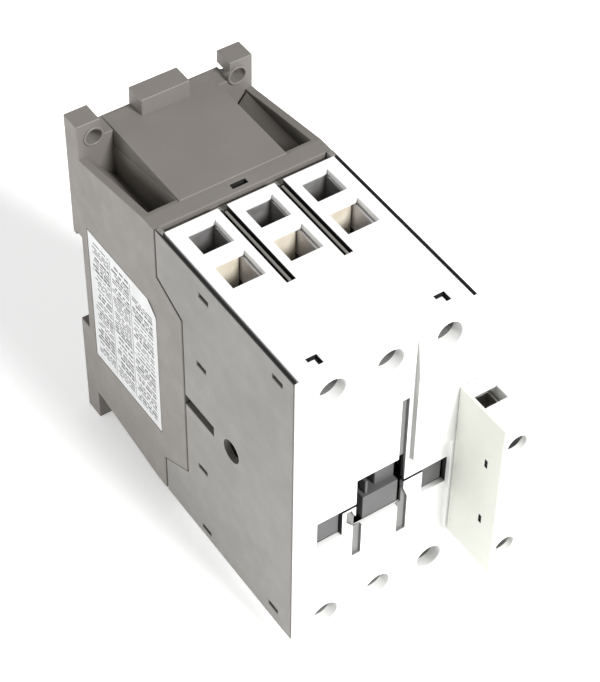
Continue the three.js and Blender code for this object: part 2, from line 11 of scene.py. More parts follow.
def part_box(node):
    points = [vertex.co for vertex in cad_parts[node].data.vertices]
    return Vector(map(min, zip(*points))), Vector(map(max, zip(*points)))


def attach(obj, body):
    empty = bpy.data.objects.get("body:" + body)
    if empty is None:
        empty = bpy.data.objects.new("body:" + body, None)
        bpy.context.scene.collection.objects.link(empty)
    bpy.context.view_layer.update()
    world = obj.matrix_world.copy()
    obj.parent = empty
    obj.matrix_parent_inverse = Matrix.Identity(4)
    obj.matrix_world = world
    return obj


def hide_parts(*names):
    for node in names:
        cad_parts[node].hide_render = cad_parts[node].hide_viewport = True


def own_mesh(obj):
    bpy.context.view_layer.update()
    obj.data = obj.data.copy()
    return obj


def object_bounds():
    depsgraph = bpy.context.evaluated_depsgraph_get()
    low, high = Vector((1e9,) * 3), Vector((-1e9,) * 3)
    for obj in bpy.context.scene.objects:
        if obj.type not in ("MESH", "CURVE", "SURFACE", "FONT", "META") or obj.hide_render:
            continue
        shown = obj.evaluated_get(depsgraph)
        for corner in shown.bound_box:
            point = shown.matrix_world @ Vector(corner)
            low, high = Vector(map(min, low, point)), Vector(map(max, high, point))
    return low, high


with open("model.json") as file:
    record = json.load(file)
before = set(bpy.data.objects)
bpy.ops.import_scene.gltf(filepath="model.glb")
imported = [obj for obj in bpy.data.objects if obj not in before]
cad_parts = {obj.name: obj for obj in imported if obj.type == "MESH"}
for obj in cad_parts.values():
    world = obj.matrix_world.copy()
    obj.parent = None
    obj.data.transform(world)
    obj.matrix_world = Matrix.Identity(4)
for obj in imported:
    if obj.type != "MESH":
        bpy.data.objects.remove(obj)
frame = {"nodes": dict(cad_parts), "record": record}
cad_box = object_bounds()
NODES = frame["nodes"]
RECORD = frame["record"]
BODY = {node: body for body, members in RECORD["behaviour"]["bodies"].items() for node in members}
SLOT = {part["node"]: part["material_slot"] for part in RECORD["subparts"]}
MM = 0.001
POLES = (-17.3, 0.0, 17.3)
ENDS = (1, -1)
SCREW_Z = 45.3
CONTACT_Z = 20.5
BLOCK_X = 25.8
BLOCK_Z = (17.6, -23.8)
COVER_FRONT = -110.4  # flat front face of the cover
COVER_BACK = -47.7  # rear edge of the cover's side and end plates
BARRIER_X = 8.65  # middle of the grooves between the poles
BAR_MIDDLE = -62.0  # the terminal bars stand here, along Y
LATCH_X = 19
ACCESS_R = 3.92  # radius of the screw access holes
LEDGE_STEP = 0.05  # the access holes are this much wider in front of their ledge
SHORTEST_EDGE = 0.6  # shorter edges stay sharp
SMOOTH_ANGLE = 50  # degrees between faces that share a rounded look
METAL_POLISH = 0.12  # spread of roughness along a metal's lines
METAL_SCRATCH = 0.2


# --- Materials -----------------------------------------------------------------------------------

class Surface:
    """A material under construction: a Principled shader and the nodes that feed it."""

    def __init__(self, name, rough, metal=0.0, specular=0.5):
        self.material = bpy.data.materials.new(name)
        self.material.use_nodes = True
        self.tree = self.material.node_tree
        self.shader = self.tree.nodes["Principled BSDF"]
        self.shader.inputs["Metallic"].default_value = metal
        self.shader.inputs["Roughness"].default_value = rough
        self.shader.inputs["Specular IOR Level"].default_value = specular
        self.place = self.add("ShaderNodeTexCoord").outputs["Object"]

    def add(self, kind, **values):
        made = self.tree.nodes.new(kind)
        for key, value in values.items():
            if isinstance(value, bpy.types.NodeSocket):
                self.tree.links.new(value, made.inputs[key])
            elif key in made.inputs:
                made.inputs[key].default_value = value
            else:
                setattr(made, key, value)
        return made

    def noise(self, scale, detail=2.0, stretch=None, seed=0.0):
        place = self.place
        mapping = self.add("ShaderNodeMapping", Vector=place)
        mapping.inputs["Location"].default_value = (seed, seed * 0.7, -seed)
        if stretch:
            mapping.inputs["Scale"].default_value = stretch
        made = self.add("ShaderNodeTexNoise", Vector=mapping.outputs[0], Scale=scale, Detail=detail)
        return made.outputs["Fac"]

    def spread(self, value, low, high, start=0.3, end=0.7):
        made = self.add("ShaderNodeMapRange", Value=value)
        for key, number in (("From Min", start), ("From Max", end), ("To Min", low), ("To Max", high)):
            made.inputs[key].default_value = number
        return made.outputs[0]

    def blend(self, factor, first, second):
        made = self.add("ShaderNodeMix", data_type="RGBA")
        self.tree.links.new(factor, made.inputs[0])
        for socket, value in ((made.inputs[6], first), (made.inputs[7], second)):
            if isinstance(value, bpy.types.NodeSocket):
                self.tree.links.new(value, socket)
            else:
                socket.default_value = (*value, 1.0)
        return made.outputs[2]

    def edges(self, radius):
        """1 on sharp edges and 0 on flat areas."""
        rounded = self.add("ShaderNodeBevel", samples=4, Radius=radius * MM).outputs[0]
        plain = self.add("ShaderNodeNewGeometry").outputs["Normal"]
        dot = self.add("ShaderNodeVectorMath", operation="DOT_PRODUCT")
        self.tree.links.new(rounded, dot.inputs[0])
        self.tree.links.new(plain, dot.inputs[1])
        return self.spread(dot.outputs["Value"], 1.0, 0.0, 0.8, 0.99)

    def link(self, name, value):
        self.tree.links.new(value, self.shader.inputs[name])

    def bump(self, height, strength, depth, normal=None):
        made = self.add("ShaderNodeBump", Height=height, Strength=strength, Distance=depth * MM)
        if normal is not None:
            self.tree.links.new(normal, made.inputs["Normal"])
        return made.outputs[0]


def tinted(colour, factor):
    return tuple(min(1.0, c * factor) for c in colour)


def moulded(name, colour, rough, grain=0.16, wear_and_highlight=1.22, mottle=0.05):
    """Moulded plastic: spark-eroded grain, faint flow mottling, and paler edges that are partly rubbed wear
    and partly a painted highlight.
    """
    s = Surface(name, rough)
    clouds = s.noise(45.0, 3.0, seed=1.3)
    fine = s.noise(1500.0, 2.0, seed=4.1)
    body = s.blend(s.spread(clouds, 0, 1), tinted(colour, 1 - mottle), tinted(colour, 1 + mottle))
    specks = s.blend(s.spread(fine, 0, 0.35, 0.45, 0.75), body, tinted(colour, 1 - 2.2 * mottle))
    # Paler edges: partly rubbed wear, partly a painted highlight along them.
    edge = s.edges(0.35)
    worn_and_highlit = s.add("ShaderNodeMath", operation="MULTIPLY")
    s.tree.links.new(edge, worn_and_highlit.inputs[0])
    s.tree.links.new(s.spread(clouds, 0.25, 0.8), worn_and_highlit.inputs[1])
    s.link("Base Color", s.blend(worn_and_highlit.outputs[0], specks, tinted(colour, wear_and_highlight)))
    s.link("Roughness", s.spread(s.noise(160.0, 3.0, seed=7.7), rough - 0.06, rough + 0.08))
    sink = s.bump(clouds, 0.25, 0.15)
    s.link("Normal", s.bump(s.noise(2600.0, 2.0, seed=2.9), grain, 0.06, sink))
    return s.material


def metal(name, colour, stain, rough, stretch=(1, 1, 1), sheen=1.0):
    """Rolled, plated or drawn metal: direction lines, stains and rubbed edges. Low sheen is a dull coat."""
    s = Surface(name, rough, metal=sheen)
    lines = s.noise(700.0, 4.0, stretch, seed=3.3)
    clouds = s.noise(170.0, 3.0, seed=8.2)
    body = s.blend(s.spread(clouds, 0, 1, 0.35, 0.65), colour, stain)
    s.link("Base Color", s.blend(s.edges(0.25), body, tinted(colour, 1.12)))
    s.link("Roughness", s.spread(lines, rough - METAL_POLISH / 2, rough + METAL_POLISH))
    s.link("Normal", s.bump(lines, METAL_SCRATCH, 0.03))
    return s.material


MATERIALS = {
    "dark_plastic": moulded("dark_plastic", (0.216, 0.207, 0.192), 0.46),
    "base_plastic": moulded("base_plastic", (0.192, 0.178, 0.163), 0.46),
    # Near-black painted shade, laid in gaps, slots and windows where there is only shade.
    "painted_gap_shade": moulded("painted_gap_shade", (0.012, 0.012, 0.012), 0.7),
    "light_plastic": moulded("light_plastic", (0.9, 0.9, 0.885), 0.42, grain=0.1, wear_and_highlight=1.04, mottle=0.01),
    # Painted shade for the deep hollows of the light cover.
    "shaded_plastic": moulded("shaded_plastic", (0.2, 0.2, 0.196), 0.5, grain=0.1, wear_and_highlight=1.04, mottle=0.02),
    # Grey painted shade for the cover's left-facing step.
    "painted_side_shade": moulded("painted_side_shade", (0.36, 0.365, 0.35), 0.45, grain=0.1, wear_and_highlight=1.2, mottle=0.02),
    # Painted shade for the coil block's left face.
    "painted_block_shade": moulded("painted_block_shade", (0.7, 0.715, 0.645), 0.42, grain=0.1, wear_and_highlight=1.1, mottle=0.015),
    "carrier_plastic": moulded("carrier_plastic", (0.1, 0.1, 0.1), 0.5, wear_and_highlight=1.3),
    "bobbin_plastic": moulded("bobbin_plastic", (0.66, 0.56, 0.36), 0.42, wear_and_highlight=1.1),
    "buffer_rubber": moulded("buffer_rubber", (0.018, 0.018, 0.019), 0.82, grain=0.4, wear_and_highlight=1.6),
    "chute_board": moulded("chute_board", (0.34, 0.27, 0.2), 0.75, grain=0.35, mottle=0.12),
    "zinc_steel": metal("zinc_steel", (0.62, 0.62, 0.6), (0.5, 0.48, 0.42), 0.3),
    "clamp_steel": metal("clamp_steel", (0.82, 0.81, 0.84), (0.62, 0.6, 0.6), 0.34, sheen=0.45),
    # Darker metal painted as shade on the cage's inner walls behind the terminal bar.
    "painted_cage_shade": metal("painted_cage_shade", (0.3, 0.3, 0.3), (0.2, 0.19, 0.19), 0.4, sheen=0.3),
    "tinned_copper": metal("tinned_copper", (1.0, 0.93, 0.78), (0.85, 0.76, 0.6), 0.36, (1, 1, 0.15),
                           sheen=0.25),
    "chute_steel": metal("chute_steel", (0.45, 0.45, 0.46), (0.33, 0.32, 0.31), 0.4),
    "spring_steel": metal("spring_steel", (0.5, 0.5, 0.52), (0.36, 0.35, 0.36), 0.26),
    "laminated_steel": metal("laminated_steel", (0.2, 0.21, 0.23), (0.13, 0.14, 0.16), 0.42, (6, 1, 1)),
    "contact_copper": metal("contact_copper", (0.8, 0.6, 0.3), (0.62, 0.42, 0.2), 0.28, (1, 1, 0.15)),
    "ring_copper": metal("ring_copper", (0.83, 0.48, 0.3), (0.6, 0.3, 0.17), 0.3),
    "contact_silver": metal("contact_silver", (0.86, 0.85, 0.81), (0.68, 0.66, 0.6), 0.26),
    "winding_copper": metal("winding_copper", (0.56, 0.2, 0.075), (0.42, 0.13, 0.05), 0.24, (1, 12, 1)),
}


def foil_material():
    """Satin foil of the side label, brushed along its height."""
    s = Surface("label_foil", 0.34, metal=0.4)
    lines = s.noise(900.0, 4.0, (1, 1, 0.05), seed=5.0)
    s.link("Base Color", s.blend(s.spread(lines, 0, 1), (0.6, 0.61, 0.61), (0.7, 0.7, 0.7)))
    s.link("Roughness", s.spread(lines, 0.3, 0.44))
    s.link("Normal", s.bump(lines, 0.12, 0.02))
    return s.material


def ink_material():
    s = Surface("label_ink", 0.5)
    patchy = s.noise(1800.0, 2.0, seed=6.0)
    s.link("Base Color", s.blend(s.spread(patchy, 0, 1), (0.09, 0.09, 0.1), (0.15, 0.15, 0.16)))
    s.link("Roughness", s.spread(patchy, 0.4, 0.6))
    return s.material


def lead_material(name, colour):
    s = Surface(name, 0.38)
    wave = s.noise(420.0, 2.0, seed=1.0)
    s.link("Base Color", s.blend(s.spread(wave, 0, 1), tinted(colour, 0.85), tinted(colour, 1.1)))
    s.link("Roughness", s.spread(wave, 0.32, 0.48))
    s.link("Normal", s.bump(wave, 0.1, 0.05))
    return s.material


def floor_material():
    s = Surface("floor_paper", 0.9, specular=0.1)
    fibre = s.noise(300.0, 3.0)
    s.link("Base Color", s.blend(s.spread(fibre, 0, 1), (0.93, 0.93, 0.93), (0.95, 0.95, 0.945)))
    s.link("Normal", s.bump(fibre, 0.05, 0.05))
    s.shader.inputs["Emission Color"].default_value = (1.0, 1.0, 1.0, 1.0)
    s.shader.inputs["Emission Strength"].default_value = 0.42
    return s.material


MATERIALS["label_foil"] = foil_material()
MATERIALS["label_ink"] = ink_material()
MATERIALS["lead_insulation"] = lead_material("lead_insulation", (0.02, 0.02, 0.022))
MATERIALS["floor"] = floor_material()


# --- Shapes --------------------------------------------------------------------------------------

class Shape:
    """Closed shells gathered as vertices and faces, in millimetres."""

    def __init__(self):
        self.verts = []
        self.faces = []

    def shell(self, verts, faces):
        start = len(self.verts)
        self.verts += [Vector(v) for v in verts]
        self.faces += [[start + i for i in face] for face in faces]
        return self

    def box(self, x0, x1, y0, y1, z0, z1):
        xs, ys, zs = sorted((x0, x1)), sorted((y0, y1)), sorted((z0, z1))
        verts = [(x, y, z) for x in xs for y in ys for z in zs]
        faces = [(0, 1, 3, 2), (4, 6, 7, 5), (0, 4, 5, 1), (2, 3, 7, 6), (0, 2, 6, 4), (1, 5, 7, 3)]
        return self.shell(verts, faces)

    def prism(self, outline, axis, low, high):
        """An outline in the two other axes, in XYZ order, drawn out along axis 0, 1 or 2."""
        count = len(outline)
        verts = []
        for level in (low, high):
            for point in outline:
                corner = list(point)
                corner.insert(axis, level)
                verts.append(corner)
        sides = [(i, (i + 1) % count, count + (i + 1) % count, count + i) for i in range(count)]
        return self.shell(verts, [tuple(reversed(range(count))), tuple(range(count, 2 * count)), *sides])

    def lathe(self, profile, x, z, sides=48):
        """A profile of (radius, y) turned about a line along Y. It starts and ends on that line."""
        verts, rings = [], []
        for radius, y in profile:
            if radius < 1e-6:
                rings.append([len(verts)])
                verts.append((x, y, z))
            else:
                rings.append(list(range(len(verts), len(verts) + sides)))
                turn = 2 * math.pi / sides
                verts += [(x + radius * math.cos(i * turn), y, z + radius * math.sin(i * turn))
                          for i in range(sides)]
        return self.shell(verts, rings_to_faces(rings, sides))

    def tube(self, path, radius, sides=12):
        """A round tube along a list of points, with flat ends."""
        path = [Vector(p) for p in path]
        heading = (path[1] - path[0]).normalized()
        across = heading.orthogonal().normalized()
        verts, rings = [path[0]], [[0]]
        for i, point in enumerate(path):
            ahead = (path[min(i + 1, len(path) - 1)] - path[max(i - 1, 0)]).normalized()
            across = (across - ahead * across.dot(ahead)).normalized()
            other = ahead.cross(across)
            rings.append(list(range(len(verts), len(verts) + sides)))
            for k in range(sides):
                turn = 2 * math.pi * k / sides
                verts.append(point + (across * math.cos(turn) + other * math.sin(turn)) * radius)
        rings.append([len(verts)])
        verts.append(path[-1])
        return self.shell(verts, rings_to_faces(rings, sides))

    def thread(self, x, z, radius, depth, pitch, y0, y1, sides=24):
        """A threaded shank along Y: the radius winds up and down with a right-hand helix."""
        steps = max(4, int(abs(y1 - y0) / pitch * 6))
        verts, rings = [(x, y0, z)], [[0]]
        for row in range(steps + 1):
            y = y0 + (y1 - y0) * row / steps
            fade = min(1.0, row / 5, (steps - row) / 5)
            rings.append(list(range(len(verts), len(verts) + sides)))
            for k in range(sides):
                phase = (y / pitch + k / sides) % 1.0
                r = radius - depth * fade * abs(2 * phase - 1)
                turn = 2 * math.pi * k / sides
                verts.append((x + r * math.cos(turn), y, z + r * math.sin(turn)))
        rings.append([len(verts)])
        verts.append((x, y1, z))
        return self.shell(verts, rings_to_faces(rings, sides))


def rings_to_faces(rings, sides):
    faces = []
    for low, high in zip(rings, rings[1:]):
        for i in range(sides):
            j = (i + 1) % sides
            if len(low) == 1 and len(high) == 1:
                break
            if len(low) == 1:
                faces.append((low[0], high[j], high[i]))
            elif len(high) == 1:
                faces.append((low[i], low[j], high[0]))
            else:
                faces.append((low[i], low[j], high[j], high[i]))
    return faces


def to_mesh(name, shape):
    mesh = bpy.data.meshes.new(name)
    mesh.from_pydata([v * MM for v in shape.verts], [], shape.faces)
    bm = bmesh.new()
    bm.from_mesh(mesh)
    bmesh.ops.recalc_face_normals(bm, faces=bm.faces)
    bm.to_mesh(mesh)
    bm.free()
    return mesh


def evaluated(obj):
    """The object's mesh with its modifiers applied."""
    graph = bpy.context.evaluated_depsgraph_get()
    return bpy.data.meshes.new_from_object(obj.evaluated_get(graph))


def bake_modifiers(obj):
    bpy.context.view_layer.update()
    mesh = evaluated(obj)
    obj.modifiers.clear()
    old = obj.data
    obj.data = mesh
    bpy.data.meshes.remove(old)


def carve(obj, shape):
    """Cuts a shape from an object."""
    tool = bpy.data.objects.new("tool", to_mesh("tool", shape))
    bpy.context.scene.collection.objects.link(tool)
    step = obj.modifiers.new("carve", "BOOLEAN")
    step.operation = "DIFFERENCE"
    step.solver = "EXACT"
    step.object = tool
    bake_modifiers(obj)
    mesh = tool.data
    bpy.data.objects.remove(tool)
    bpy.data.meshes.remove(mesh)


def clean(mesh):
    bm = bmesh.new()
    bm.from_mesh(mesh)
    bmesh.ops.remove_doubles(bm, verts=bm.verts, dist=0.002 * MM)
    bmesh.ops.dissolve_limit(bm, angle_limit=math.radians(0.6), verts=bm.verts, edges=bm.edges)
    bm.to_mesh(mesh)
    bm.free()


def soften(obj, width, special=None, segments=2):
    """Rounds the outward edges. special(middle of an edge in mm) may give an edge a radius of its own."""
    largest = width
    mesh = obj.data
    bm = bmesh.new()
    bm.from_mesh(mesh)
    bmesh.ops.triangulate(bm, faces=bm.faces, ngon_method="BEAUTY")
    bm.edges.index_update()
    wanted = {}
    for edge in bm.edges:
        if len(edge.link_faces) != 2 or edge.calc_face_angle_signed(0) < math.radians(25):
            continue
        if edge.calc_length() < SHORTEST_EDGE * MM:
            continue
        size = width
        if special:
            middle = (edge.verts[0].co + edge.verts[1].co) / 2 / MM
            size = special(middle) or width
        along = (edge.verts[1].co - edge.verts[0].co).normalized()
        for face in edge.link_faces:
            across = face.normal.cross(along)
            room = max(abs((v.co - edge.verts[0].co).dot(across)) for v in face.verts) / MM
            size = min(size, 0.42 * room)
        wanted[edge.index] = size
        largest = max(largest, size)
    layer = bm.edges.layers.float.get("bevel_weight_edge") or bm.edges.layers.float.new("bevel_weight_edge")
    for edge in bm.edges:
        edge[layer] = wanted.get(edge.index, 0) / largest
    bm.to_mesh(mesh)
    bm.free()
    step = obj.modifiers.new("soften", "BEVEL")
    step.limit_method = "WEIGHT"
    step.width = largest * MM
    step.segments = segments
    step.use_clamp_overlap = False
    step.loop_slide = False
    step.miter_outer = "MITER_ARC"
    bake_modifiers(obj)


def plane_groups(bm):
    """Gathers neighbouring faces of one plane: each face's group, and each group's area and face count."""
    group, sizes = {}, []
    for start in bm.faces:
        if start in group:
            continue
        group[start] = len(sizes)
        area, count, queue = 0.0, 0, [start]
        while queue:
            face = queue.pop()
            area += face.calc_area() / MM ** 2
            count += 1
            for edge in face.edges:
                for other in edge.link_faces:
                    if other not in group and other.normal.dot(start.normal) > 0.99995:
                        group[other] = group[start]
                        queue.append(other)
        sizes.append((area, count))
    return group, sizes


def shade(obj):
    """Smooth normals on rounded and small faces, led by the flat faces they meet, which stay flat."""
    mesh = obj.data
    bm = bmesh.new()
    bm.from_mesh(mesh)
    group, sizes = plane_groups(bm)
    limit = math.cos(math.radians(SMOOTH_ANGLE))
    normals = []
    for face in bm.faces:
        area, count = sizes[group[face]]
        flat = area > 4 and count > 1 or area > 12
        for loop in face.loops:
            if flat:
                normals.append(face.normal.copy())
                continue
            total = Vector()
            for other in loop.vert.link_faces:
                if other.normal.dot(face.normal) > limit:
                    total += other.normal * sizes[group[other]][0]
            normals.append(total.normalized() if total.length else face.normal.copy())
    bm.free()
    mesh.polygons.foreach_set("use_smooth", [True] * len(mesh.polygons))
    mesh.normals_split_custom_set(normals)


def finish_piece(obj, node, names):
    """Gives a piece its materials and body, and lets it stand for its CAD node."""
    obj.data.materials.clear()
    for name in names:
        obj.data.materials.append(MATERIALS[name])
    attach(obj, BODY[node])
    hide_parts(node)
    return obj


def linked(name, mesh):
    obj = bpy.data.objects.new(name, mesh)
    bpy.context.scene.collection.objects.link(obj)
    return obj


def split_faces(obj, y):
    """Divides the faces that cross a plane at this y, so that each half can take a material of its own."""
    bm = bmesh.new()
    bm.from_mesh(obj.data)
    geometry = [*bm.verts, *bm.edges, *bm.faces]
    bmesh.ops.bisect_plane(bm, geom=geometry, dist=0.001 * MM, plane_co=(0, y * MM, 0), plane_no=(0, 1, 0))
    bm.to_mesh(obj.data)
    bm.free()


def refined(node, cuts=None, radius=0.25, special=None, segments=2, others=(), material=None, split=None):
    """A finished copy of a CAD node: welded, cut, with rounded edges, its faces divided at y = split.

    others holds pairs of a material and a test of a face's middle. The first test passed decides."""
    obj = linked(node + "_skin", NODES[node].data.copy())
    clean(obj.data)
    for cut in cuts or ():
        carve(obj, cut)
    clean(obj.data)
    soften(obj, radius, special, segments)
    if split:
        split_faces(obj, split)
    shade(obj)
    finish_piece(obj, node, [material or SLOT[node], *(name for name, _ in others)])
    for polygon in obj.data.polygons:
        passed = [i for i, (_, test) in enumerate(others, 1) if test(polygon.center / MM)]
        polygon.material_index = passed[0] if passed else 0
    return obj


def built(name, node, shape):
    """A piece made from a shape, standing for a CAD node."""
    obj = linked(name, to_mesh(name, shape))
    shade(obj)
    return finish_piece(obj, node, [SLOT[node]])


def assembled(node, pieces):
    """One object for a CAD node from several (shape, cuts, edge radius, material) pieces."""
    joined = bmesh.new()
    names = []
    for shape, cuts, radius, material in pieces:
        part = linked("part", to_mesh("part", shape))
        for cut in cuts or ():
            carve(part, cut)
        if cuts:
            clean(part.data)
        if radius:
            soften(part, radius)
        if material not in names:
            names.append(material)
        for polygon in part.data.polygons:
            polygon.material_index = names.index(material)
        joined.from_mesh(part.data)
        bpy.data.objects.remove(part)
    mesh = bpy.data.meshes.new(node + "_built")
    joined.to_mesh(mesh)
    joined.free()
    obj = linked(node + "_built", mesh)
    kept = [polygon.material_index for polygon in mesh.polygons]
    shade(obj)
    finish_piece(obj, node, names)
    obj.data.polygons.foreach_set("material_index", kept)
    return obj


def corner(node):
    """Lowest and highest corner of a CAD node, in millimetres."""
    low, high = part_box(node)
    return low / MM, high / MM


# --- Housing -------------------------------------------------------------------------------------

def round_holes(places, radius, y0, y1, sides=56, rim=0.0, face=0.0, ledge=None):
    """Cutters for holes along Y. A rim rounds each hole's mouth where it meets the flat face at y = face.

    From y = ledge outwards the hole is a hair wider."""
    profile = [(0, y0), (radius, y0)]
    if ledge:
        profile += [(radius, ledge), (radius + LEDGE_STEP, ledge - 0.3)]
        radius += LEDGE_STEP
    if rim:
        for step in range(5):
            turn = math.pi / 8 * step
            profile.append((radius + rim * (1 - math.cos(turn)), face + rim * (1 - math.sin(turn))))
    profile += [(profile[-1][0], y1), (0, y1)]
    shape = Shape()
    for x, z in places:
        shape.lathe(profile, x, z, sides)
    return shape


def side_hole(radius, y, z, x0, x1, sides=56):
    shape = Shape()
    turn = 2 * math.pi / sides
    outline = [(y + radius * math.cos(i * turn), z + radius * math.sin(i * turn)) for i in range(sides)]
    return shape.prism(outline, 0, x0, x1)


def label_pieces():
    """A foil plate with one corner cut off, ruled and filled with plain bars in place of print."""
    low, high = corner("label_plate")
    cut = 4.0
    outline = [(low.y + cut, high.z), (high.y, high.z), (high.y, low.z), (low.y, low.z),
               (low.y, high.z - cut)]
    plate = Shape().prism(outline, 0, low.x + 0.03, high.x)
    ink = Shape()
    face = low.x + 0.035
    draw = random.Random(7)
    columns = [(low.y + 2.0, low.y + 12.5), (low.y + 14.0, low.y + 23.0), (low.y + 24.5, high.y - 2.0)]
    for column, (start, end) in enumerate(columns):
        z = high.z - (6.0 if column == 0 else 2.5)
        while z > low.z + 3.0:
            tall = draw.choice((0.45, 0.45, 0.8))
            y = start
            while y < end - 1.5:
                run = draw.uniform(0.8, 3.4)
                ink.box(low.x + 0.012, face, y, min(y + run, end), z - tall, z)
                y += run + draw.uniform(0.3, 0.9)
            z -= tall + draw.choice((0.55, 0.55, 1.2))
    for y in (low.y + 13.2, low.y + 23.8):
        ink.box(low.x + 0.012, face, y, y + 0.2, low.z + 2.0, high.z - 2.5)
    for z in (8.5, -7.0, -19.0):
        ink.box(low.x + 0.012, face, low.y + 1.5, high.y - 1.5, z, z + 0.2)
    return [(plate, None, 0.05, "label_foil"), (ink, None, 0.0, "label_ink")]


def near_pole(place):
    """The middle of the pole that a spot lies at."""
    return min(POLES, key=lambda x: abs(place.x - x))


# The cover's latch windows, where black shade is painted.
def in_latch(place):
    return abs(abs(place.x) - LATCH_X) < 1.8 and -106.6 < place.y < -103 and abs(place.z) < 52.3


def in_hollow(place):
    """Whether a spot of the front cover lies deep in a screw hole, in a slot or in the groove, where shade is
    painted on.
    """
    pole = near_pole(place)
    bore = math.hypot(place.x - pole, abs(place.z) - SCREW_Z)
    hole = bore < ACCESS_R + 0.02 and place.y > (-107.7 if pole > 0 and place.z > 0 else -107.1)
    sunk = -110.35 < place.y < -109.0
    slots = sunk and -25.6 < place.z < -5.8 and (-11.6 < place.x < -6.3 or 5.0 < place.x < 8.2)
    groove = sunk and 4.4 < place.x < 6.8 and 5.3 < place.z < 28.2
    return hole or slots or groove


def in_gap(place):
    """Whether a spot of the front cover bounds a window of the carrier or a groove between the poles, where
    black shade is painted.
    """
    window = place.y > -110.3 and abs(place.x) < 20.9 and -14.5 < place.z < 5.5
    groove = place.y > -79.9 and abs(abs(place.x) - BARRIER_X) < 1.45 and 50.2 < abs(place.z) < 52.35
    return window and place.y < -108.3 and place.z > -13.9 or groove


# The left-facing step of the cover's raised part, which takes a painted shade.
def on_step(place):
    return abs(place.x - 8) < 0.1 and place.y < -110.45 and place.z > 3


# Slots in the base's roof, where black shade is painted.
def in_roof_slot(place):
    return abs(place.x) < 2.4 and -43.4 < place.y < -41.4 and 45 < abs(place.z) < 51.6


# Slots in the coil terminal block, where black shade is painted.
def in_block_slot(place):
    return 21.25 < place.x < 21.8 and min(abs(place.z - 7.2), abs(place.z + 15.3)) < 1.5 and place.y < -124


def beside_cover(place):
    """Whether a spot of the chamber lies in the narrow gaps along the cover's plates, where black shade is
    painted.
    """
    rebate = 25.6 < abs(place.x) < 26.72 and abs(place.z) > 50 and place.y < COVER_BACK
    rebate = rebate or abs(place.x) > 26.65 and abs(place.z) > 51.85 and place.y < COVER_BACK
    barrier = abs(abs(place.x) - BARRIER_X) < 0.72 and 48.9 < abs(place.z) < 51.9 and place.y < COVER_BACK
    return rebate or barrier


def make_housing():
    fixing = [(x, z) for x in (-22.5, 22.5) for z in (-52.5, 52.5)]
    ears = [round_holes(fixing, 2.34, 1, -9, 40, 0.25, -7.25)]
    refined("base_housing", cuts=ears, radius=0.3, material="base_plastic",
            others=[("painted_gap_shade", in_roof_slot)])
    refined("contact_chamber", cuts=[side_hole(3.64, -80, -0.8, -28, 28)], radius=0.25,
            others=[("painted_gap_shade", beside_cover)])
    raised = (POLES[2], SCREW_Z)
    level = [(x, s * SCREW_Z) for x in POLES for s in ENDS if (x, s * SCREW_Z) != raised]
    cover_cuts = [round_holes(level, ACCESS_R, -90.5, -113, 56, 0.3, COVER_FRONT, ledge=-107.0),
                  round_holes([raised], ACCESS_R, -90.5, -113, ledge=-107.6)]

    def cover_radius(middle):
        if middle.x < -27 and middle.y < -110 and abs(middle.z) < 51:
            return 1.3
        if middle.y < -110 and abs(middle.z) > 50:
            return 0.5
        return None

    refined("front_cover", cuts=cover_cuts, radius=0.25, special=cover_radius, segments=3,
            others=[("painted_gap_shade", in_latch), ("shaded_plastic", in_hollow), ("painted_gap_shade", in_gap),
                    ("painted_side_shade", on_step)])
    drivers = [round_holes([(BLOCK_X, z) for z in BLOCK_Z], 3.04, -126.5, -132, 56, 0.3, -131)]
    # The block's left face (x < 21.4) takes a painted shade.
    refined("coil_terminal_block", cuts=drivers, radius=0.3, segments=2,
            others=[("painted_gap_shade", in_block_slot), ("painted_block_shade", lambda place: place.x < 21.4)])
    assembled("label_plate", label_pieces())


# --- Screws, clamps and contacts -----------------------------------------------------------------

def recess(x, z, reach, width, top, depth):
    """Cutters for a slot and a shorter, deeper cross slot, sunk into a screw head from y = top."""
    shape = Shape()
    shape.box(x - reach, x + reach, top - 1, top + depth, z - width / 2, z + width / 2)
    cross = 0.62 * reach
    return shape, Shape().box(x - width / 2, x + width / 2, top - 1, top + depth * 1.3, z - cross, z + cross)


def screw_pieces(x, z, head, shank, y_head, y_under, y_end, pitch):
    """A pan head with a crossed slot, and a threaded shank from under it to y_end."""
    dome = [(0, y_head), (head * 0.55, y_head + 0.08), (head * 0.85, y_head + 0.4), (head, y_head + 1.1),
            (head, y_under), (shank * 0.9, y_under), (shank * 0.9, y_under + 0.4), (0, y_under + 0.4)]
    cap = Shape().lathe(dome, x, z, 56)
    cuts = recess(x, z, head * 0.86, head * 0.3, y_head, (y_under - y_head) * 0.5)
    thread = Shape().thread(x, z, shank, shank * 0.14, pitch, y_under + 0.3, y_end)
    return [(cap, cuts, 0.12, "zinc_steel"), (thread, None, 0.0, "zinc_steel")]


def terminal_pieces():
    for pole, x in enumerate(POLES, 1):
        for side, word in zip(ENDS, ("line", "load")):
            name = f"{word}_{pole}"
            z = side * SCREW_Z
            pieces = screw_pieces(x, z, 3.6, 2.85, -88.6, -85.2, -74.7, 0.9)
            plate = [(0, -74.8), (3.4, -74.8), (3.6, -74.6), (3.6, -73.8), (3.4, -73.6), (0, -73.6)]
            pieces.append((Shape().lathe(plate, x, z, 40), None, 0.0, "zinc_steel"))
            assembled(f"terminal_screw_{name}", pieces)
            hole = [round_holes([(x, z)], 3.3, -74, -78, 48, 0.25, -77)]
            refined(f"cage_clamp_{name}", cuts=hole, radius=0.3, others=[("painted_cage_shade", in_cage)],
                    material="clamp_steel", split=BAR_MIDDLE)
            refined(f"terminal_bar_{name}", radius=0.2, others=[("contact_silver", on_fixed_tip)],
                    material="tinned_copper")
            assembled(f"arc_chute_{name}", chute_pieces(x, side))
        assembled(f"contact_bridge_{pole}", bridge_pieces(x))


